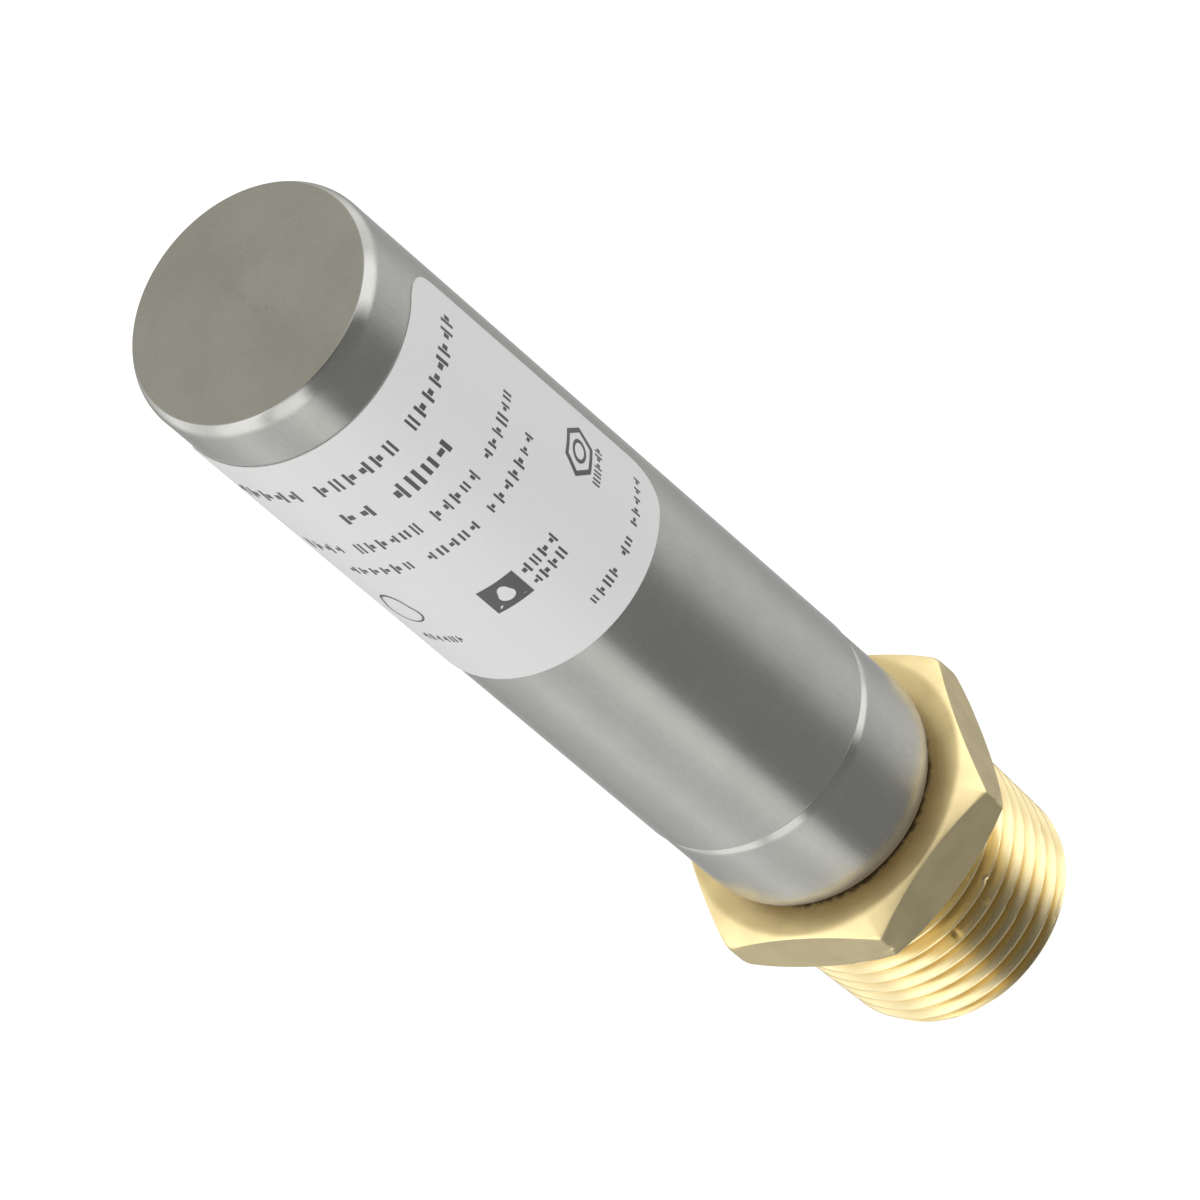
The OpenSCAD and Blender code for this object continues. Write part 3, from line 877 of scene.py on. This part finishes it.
def outline(centre, sides, radius, count, turned=0.0, drop=0.0):
    """Points of a regular outline; a drop draws its top out to a point."""
    along, z = centre
    points = []
    for index in range(count):
        turn = 2 * math.pi * index / count + math.pi / 2
        if sides:
            sector = 2 * math.pi / sides
            off = (turn - turned) % sector - sector / 2
            reach = radius * math.cos(sector / 2) / math.cos(off)
        else:
            reach = radius * (1 + drop * max(0.0, math.sin(turn)) ** 6)
        points.append((along + reach * math.cos(turn), z + reach * math.sin(turn)))
    return points


# Tones of the light tent by direction, in degrees from +X: as seen looking down, level and up
LOW_RING = [(-180, 0.98), (-164, 0.86), (-148, 0.92), (-137, 1.15), (-126, 1.1), (-119, 0.85),
            (-112, 0.4), (-103, 0.34), (-66, 0.34), (-52, 0.36), (-40, 0.5), (-26, 0.7),
            (-6, 0.84), (13, 0.85), (33, 0.6), (53, 0.45), (70, 0.64), (94, 0.66), (104, 0.54),
            (115, 0.42), (133, 0.68), (153, 0.8), (172, 1.12), (180, 0.98)]
MIDDLE_RING = [(-180, 1.8), (-160, 1.8), (-150, 0.95), (-143, 1.6), (-122, 1.7), (-113, 0.35),
               (-54, 0.28), (-46, 1.0), (-38, 1.9), (-12, 1.9), (0, 1.3), (14, 1.35),
               (26, 1.5), (40, 1.1), (64, (0.6, 0.58, 0.5)), (104, (0.6, 0.58, 0.5)),
               (126, 1.1), (141, 1.7), (153, 1.4), (165, 1.3), (176, 1.8), (180, 1.8)]
HIGH_RING = [(-180, 2.2), (-163, 2.0), (-150, 0.9), (-137, 0.7), (-129, 0.2), (-97, 0.13),
             (-47, 0.18), (-38, 0.6), (-27, 1.0), (-19, 2.1), (0, 2.2), (12, 1.1), (40, 0.9),
             (84, (0.63, 0.6, 0.52)), (130, 0.9), (158, 1.1), (170, 2.0), (180, 2.2)]
OVERHEAD = (0.35, 0.35, 0.34, 1.0)


def shown_ray(tree):
    """One for the rays that show the background, also in metal and glass, and zero for others."""
    rays = node(tree, "ShaderNodeLightPath").outputs
    shown = calc(tree, "MAXIMUM", rays["Is Camera Ray"], rays["Is Glossy Ray"])
    return calc(tree, "MAXIMUM", shown, rays["Is Transmission Ray"])


class ARRESTOR_OT_stage(bpy.types.Operator):
    """Make the floor, the light and the camera"""
    bl_idname = "arrestor.stage"
    bl_label = "Stage"

    def execute(self, context):
        scene = context.scene
        finishes = sizes_of(context, "finishes")
        scene.view_settings.view_transform = "Standard"
        self.make_camera(scene)
        self.make_floor(scene, finishes)
        self.make_world(scene)
        self.make_tent()
        self.make_lamps(scene)
        return {"FINISHED"}

    def make_camera(self, scene):
        """The photograph's view: from 47 degrees up, turned about the line of sight."""
        turn, rise, roll = math.radians(-6.5), math.radians(47.0), math.radians(49.453)
        level = Vector((math.cos(turn), math.sin(turn), 0))
        back = Vector((math.sin(turn) * math.cos(rise), -math.cos(turn) * math.cos(rise),
                       math.sin(rise)))
        upper = back.cross(level)
        right = level * math.cos(roll) - upper * math.sin(roll)
        up = level * math.sin(roll) + upper * math.cos(roll)
        aim = Vector((0, 0, tube_high.z - 0.24 * MM))
        place = aim + right * 25.655 * MM - up * 21.62 * MM + back * 911.6 * MM
        camera = bpy.data.cameras.new("photo_camera")
        camera.sensor_width = 36.0
        camera.lens = 373.63
        camera.clip_start = 0.05
        camera.clip_end = 50.0
        made = bpy.data.objects.new("photo_camera", camera)
        made.matrix_world = Matrix.Translation(place) @ Matrix(
            [[right[i], up[i], back[i]] for i in range(3)]).to_4x4()
        scene.collection.objects.link(made)
        scene.camera = made

    def make_floor(self, scene, finishes):
        """A pale floor that looks white and keeps the object's shadow."""
        half = 3.0
        mesh = bpy.data.meshes.new("floor")
        low = -0.05 * MM
        mesh.from_pydata([(-half, -half, low), (half, -half, low), (half, half, low),
                          (-half, half, low)], [], [(0, 1, 2, 3)])
        floor = bpy.data.objects.new("floor", mesh)
        scene.collection.objects.link(floor)
        made, tree, shader = new_material("pale_floor")
        shader.inputs["Base Color"].default_value = rgba(finishes.floor)
        shader.inputs["Roughness"].default_value = 1.0
        shader.inputs["Specular IOR Level"].default_value = 0.0
        shader.inputs["Emission Color"].default_value = (1, 1, 1, 1)
        feed(tree, shader.inputs["Emission Strength"],
             calc(tree, "MULTIPLY", shown_ray(tree), 0.8))
        mesh.materials.append(made)
        # The metal shows the tent's own dark and light ground instead, as the photographed one does
        floor.visible_glossy = False

    def make_world(self, scene):
        """Plain white light from all round."""
        world = bpy.data.worlds.new("studio")
        scene.world = world
        world.use_nodes = True
        world.cycles.sampling_method = "NONE"
        tree = world.node_tree
        tree.nodes.clear()
        light = node(tree, "ShaderNodeBackground")
        leave = node(tree, "ShaderNodeOutputWorld")
        feed(tree, leave.inputs["Surface"], light.outputs[0])
        light.inputs["Color"].default_value = (1, 1, 1, 1)

    def make_tent(self):
        """A light tent far round the object, with the panels and cards that metal mirrors."""
        mesh = bpy.data.meshes.new("light_tent")
        work = bmesh.new()
        bmesh.ops.create_uvsphere(work, u_segments=48, v_segments=24, radius=9.0)
        work.to_mesh(mesh)
        work.free()
        tent = bpy.data.objects.new("light_tent", mesh)
        bpy.context.scene.collection.objects.link(tent)
        made = bpy.data.materials.new("light_tent")
        made.use_nodes = True
        made.cycles.emission_sampling = "NONE"
        tree = made.node_tree
        tree.nodes.clear()
        toward = node(tree, "ShaderNodeVectorMath", operation="NORMALIZE")
        feed(tree, toward.inputs[0], node(tree, "ShaderNodeTexCoord").outputs["Object"])
        parts = node(tree, "ShaderNodeSeparateXYZ")
        feed(tree, parts.inputs[0], toward.outputs[0])
        x, y, z = parts.outputs
        share_round = remap(tree, calc(tree, "ARCTAN2", y, x), -math.pi, math.pi, 0.0, 1.0)
        rings = [ramp(tree, share_round, [((turn + 180) / 360, tone) for turn, tone in ring])
                 for ring in (LOW_RING, MIDDLE_RING, HIGH_RING)]
        tone = blend_colour(tree, remap(tree, z, -0.5, -0.3, 0.0, 1.0, True), rings[0], rings[1])
        tone = blend_colour(tree, remap(tree, z, 0.55, 0.75, 0.0, 1.0, True), tone, rings[2])
        tone = blend_colour(tree, remap(tree, z, 0.965, 0.995, 0.0, 1.0, True), tone, OVERHEAD)
        light = node(tree, "ShaderNodeEmission")
        feed(tree, light.inputs["Color"], tone)
        leave = node(tree, "ShaderNodeOutputMaterial")
        feed(tree, leave.inputs["Surface"], light.outputs[0])
        mesh.materials.append(made)
        tent.visible_camera = False
        tent.visible_diffuse = False
        tent.visible_transmission = False
        tent.visible_shadow = False

    def make_lamps(self, scene):
        """One wide soft lamp to the left that metal doesn't mirror."""
        lamp = bpy.data.lights.new("soft_key", "AREA")
        lamp.shape = "DISK"
        lamp.size = 1.2
        lamp.energy = 3.0
        made = bpy.data.objects.new("soft_key", lamp)
        place = Vector((-1.0, -0.6, 1.0))
        made.matrix_world = Matrix.Translation(place) @ place.to_track_quat("Z", "Y").to_matrix(
        ).to_4x4()
        made.visible_glossy = False
        made.visible_camera = False
        scene.collection.objects.link(made)


class ARRESTOR_OT_tube(bpy.types.Operator):
    """Make the drawn steel tube with its rolled groove and curled lip"""
    bl_idname = "arrestor.tube"
    bl_label = "Tube"

    def execute(self, context):
        sizes = sizes_of(context, "tube")
        finishes = sizes_of(context, "finishes")
        made = grid_object("tube_shell", revolved(tube_section(sizes), sizes.columns), True,
                           satin_steel(finishes, sizes))
        need_closed(made)
        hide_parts("chamber_tube")
        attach(made, "housing")
        return {"FINISHED"}


class ARRESTOR_OT_fitting(bpy.types.Operator):
    """Make the brass fitting with its hexagon and tapered thread"""
    bl_idname = "arrestor.fitting"
    bl_label = "Brass Fitting"

    def execute(self, context):
        sizes = sizes_of(context, "fitting")
        tube = sizes_of(context, "tube")
        finishes = sizes_of(context, "finishes")
        lip_foot = tube.radius - tube.neck_step - tube.lip * (1 - math.cos(tube.lip_turn))
        brass = machined_brass(finishes, sizes, lip_foot)
        turns = math.ceil(sizes.thread_length / sizes.pitch) + 2
        thread = made_by_tree("thread", thread_tree(), {
            "Columns": sizes.columns, "Steps": sizes.steps, "Turns": turns,
            "Pitch": sizes.pitch, "Length": sizes.thread_length,
            "End Radius": sizes.thread_radius, "Taper": sizes.taper, "Crest": sizes.crest,
            "Root": sizes.root, "Crest Height": sizes.crest_height,
            "End Bevel": sizes.end_bevel, "Material": brass})
        made = grid_object("fitting_body", fitting_columns(sizes, tube), False, brass)
        work = bmesh.new()
        work.from_mesh(made.data)
        work.from_mesh(thread)
        for face in work.faces:
            face.material_index = 0
        work.to_mesh(made.data)
        work.free()
        dented(made.data)
        tidy_mesh(made.data, 35.0)
        need_closed(made)
        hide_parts("brass_fitting")
        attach(made, "housing")
        return {"FINISHED"}


class ARRESTOR_OT_label(bpy.types.Operator):
    """Make the label and its plain print"""
    bl_idname = "arrestor.label"
    bl_label = "Label"

    def execute(self, context):
        sizes = sizes_of(context, "label")
        finishes = sizes_of(context, "finishes")
        film = plain_finish("satin_white_film", finishes.film, 0.42, 0.01)
        ink = plain_finish("grey_print", finishes.print_grey, 0.5, 0.04)
        self.make_sheet(sizes, film)
        self.make_print(sizes, ink)
        return {"FINISHED"}

    def make_sheet(self, sizes, film):
        """A thin curved sheet with rounded corners."""
        outer = sizes.inner + sizes.thickness
        bend = math.asin(sizes.corner / outer)
        half = sizes.span / 2
        turns = [half - bend + bend * math.sin(math.pi / 2 * step / 12) for step in range(13)]
        flat = [(half - bend) * step / 90 for step in range(-90, 91)]
        turns = [-turn for turn in reversed(turns[1:])] + flat + turns[1:]
        rows = []
        for turn in turns:
            reach = max(0.0, abs(turn) - (half - bend)) * outer
            room = sizes.corner - math.sqrt(max(0.0, sizes.corner ** 2 - reach ** 2))
            rows.append((turn + sizes.turn, sizes.bottom + room, sizes.top - room))
        vertices, faces = [], []
        for turn, low, high in rows:
            for r, z in ((outer, low), (outer, high), (sizes.inner, high), (sizes.inner, low)):
                vertices.append((r * math.cos(turn), r * math.sin(turn), z))
        for index in range(len(rows) - 1):
            for corner in range(4):
                here, there = index * 4 + corner, index * 4 + (corner + 1) % 4
                faces.append((here, here + 4, there + 4, there))
        last = (len(rows) - 1) * 4
        faces += [(0, 1, 2, 3), (last + 3, last + 2, last + 1, last)]
        mesh = bpy.data.meshes.new("label_sheet")
        mesh.from_pydata(vertices, [], faces)
        made = bpy.data.objects.new("label_sheet", mesh)
        bpy.context.scene.collection.objects.link(made)
        tidy_mesh(mesh, 35.0)
        mesh.materials.append(film)
        need_closed(made)
        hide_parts("wrap_label")
        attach(made, "housing")

    def make_print(self, sizes, ink):
        """Rows of plain blocks and a few plain shapes, just proud of the label."""
        radius = sizes.inner + sizes.thickness
        tree = print_tree()
        work = bmesh.new()
        for index, row in enumerate(PRINT_ROWS):
            middle, height, start, end, blocks, gaps, filled, low = row
            mesh = made_by_tree("printed_row", tree, {
                "Blocks": blocks, "Start": math.radians(FACING + start),
                "End": math.radians(FACING + end), "Middle Height": middle * MM,
                "Row Height": height * MM, "Radius": radius, "Ink": 2 * sizes.ink,
                "Filled": filled, "Low Share": low, "Space One": gaps[0],
                "Space Two": gaps[1], "Space Three": gaps[2], "Seed": index, "Material": ink})
            work.from_mesh(mesh)
            bpy.data.meshes.remove(mesh)
        vertices, faces = [], []

        def at(degrees, height):
            return (math.radians(FACING + degrees) * radius, height * MM)

        square = at(-21.5, 73.6)
        wrapped_plate(vertices, faces,
                      outline(square, 4, 1.65 * math.sqrt(2) * MM, 96, math.pi / 4),
                      outline((square[0], square[1] - 0.25 * MM), 0, 0.68 * MM, 96, 0, 0.75),
                      radius, 2 * sizes.ink)
        nut = at(45.6, 74.9)
        wrapped_plate(vertices, faces, outline(nut, 6, 2.1 * MM, 96, 0),
                      outline(nut, 6, 1.65 * MM, 96, 0), radius, 2 * sizes.ink)
        wrapped_plate(vertices, faces, outline(nut, 0, 0.95 * MM, 96),
                      outline(nut, 0, 0.65 * MM, 96), radius, 2 * sizes.ink)
        drop = at(-67.5, 74.4)
        wrapped_plate(vertices, faces, outline(drop, 0, 1.6 * MM, 96, 0, 0.8),
                      outline(drop, 0, 1.42 * MM, 96, 0, 0.8), radius, 2 * sizes.ink)
        shapes = bpy.data.meshes.new("shapes")
        shapes.from_pydata(vertices, [], faces)
        work.from_mesh(shapes)
        bmesh.ops.recalc_face_normals(work, faces=work.faces)
        mesh = bpy.data.meshes.new("label_print")
        work.to_mesh(mesh)
        work.free()
        bpy.data.meshes.remove(shapes)
        mesh.materials.clear()
        mesh.materials.append(ink)
        for polygon in mesh.polygons:
            polygon.material_index = 0
        made = bpy.data.objects.new("label_print", mesh)
        bpy.context.scene.collection.objects.link(made)
        need_closed(made)
        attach(made, "housing")


class ARRESTOR_OT_inner_parts(bpy.types.Operator):
    """Give the piston and the seal rings their finishes"""
    bl_idname = "arrestor.inner_parts"
    bl_label = "Piston and Rings"

    def execute(self, context):
        finishes = sizes_of(context, "finishes")
        rubber = plain_finish("black_rubber", finishes.rubber, 0.45, 0.05)
        plastic = plain_finish("turned_plastic", finishes.plastic, 0.4, 0.02)
        for name, material in (("piston", plastic), ("fitting_seal_ring", rubber),
                               ("piston_ring_lower", rubber), ("piston_ring_upper", rubber)):
            slots = frame["nodes"][name].material_slots
            if not slots:
                raise RuntimeError(f"{name} has no material slot")
            for place in slots:
                place.material = material
        return {"FINISHED"}


class ARRESTOR_PT_panel(bpy.types.Panel):
    """Sizes, finishes and the steps that make the arrestor"""
    bl_idname = "ARRESTOR_PT_panel"
    bl_label = "Water Hammer Arrestor"
    bl_space_type = "VIEW_3D"
    bl_region_type = "UI"
    bl_category = "Arrestor"

    def draw(self, context):
        layout = self.layout
        for step in OPERATORS:
            layout.operator(step.bl_idname)
        for name, kind in GROUPS.items():
            box = layout.box()
            box.label(text=name.title())
            for key in kind.__annotations__:
                box.prop(sizes_of(context, name), key)


GROUPS = {"tube": ArrestorTubeSizes, "fitting": ArrestorFittingSizes,
          "label": ArrestorLabelSizes, "finishes": ArrestorFinishes}
OPERATORS = [ARRESTOR_OT_stage, ARRESTOR_OT_tube, ARRESTOR_OT_fitting, ARRESTOR_OT_label,
             ARRESTOR_OT_inner_parts]


def register():
    for kind in [*GROUPS.values(), *OPERATORS, ARRESTOR_PT_panel]:
        bpy.utils.register_class(kind)
    for name, kind in GROUPS.items():
        setattr(bpy.types.Scene, "arrestor_" + name, bpy.props.PointerProperty(type=kind))


def unregister():
    for name in GROUPS:
        delattr(bpy.types.Scene, "arrestor_" + name)
    for kind in reversed([*GROUPS.values(), *OPERATORS, ARRESTOR_PT_panel]):
        bpy.utils.unregister_class(kind)


def main():
    register()
    bpy.ops.arrestor.stage()
    bpy.ops.arrestor.tube()
    bpy.ops.arrestor.fitting()
    bpy.ops.arrestor.label()
    bpy.ops.arrestor.inner_parts()


if __name__ == "__main__":
    main()
